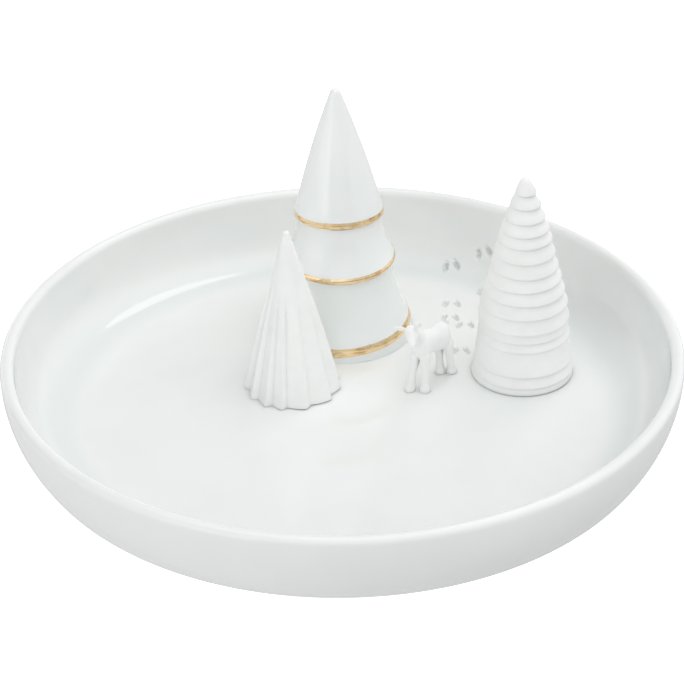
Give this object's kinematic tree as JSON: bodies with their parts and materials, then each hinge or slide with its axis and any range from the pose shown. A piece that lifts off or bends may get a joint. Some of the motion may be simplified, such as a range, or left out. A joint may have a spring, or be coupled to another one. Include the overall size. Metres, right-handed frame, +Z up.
{
  "type": "ring dish",
  "caption": "Shallow round dish for rings and small jewellery, with conical trees that hold rings and a standing deer on its floor.",
  "frame": {"origin": "centre of the foot ring's resting face", "axes": "+Z up through the dish, -Y to the front, +X to the viewer's right"},
  "size_m": [0.14, 0.14, 0.0622],
  "materials": {
    "glazed_dish": "clear gloss glaze",
    "glazed_tree": "clear gloss glaze",
    "lustre": "fired gold lustre, mirror bright",
    "bisque": "unglazed, polished smooth"
  },
  "bodies": {
    "root": {"dish": "glazed_dish", "tall_tree": "glazed_tree", "gold_band_top": "lustre", "gold_band_middle": "lustre", "gold_band_base": "lustre", "pleated_tree": "bisque", "ribbed_tree": "bisque", "deer": "bisque"}
  },
  "joints": []
}
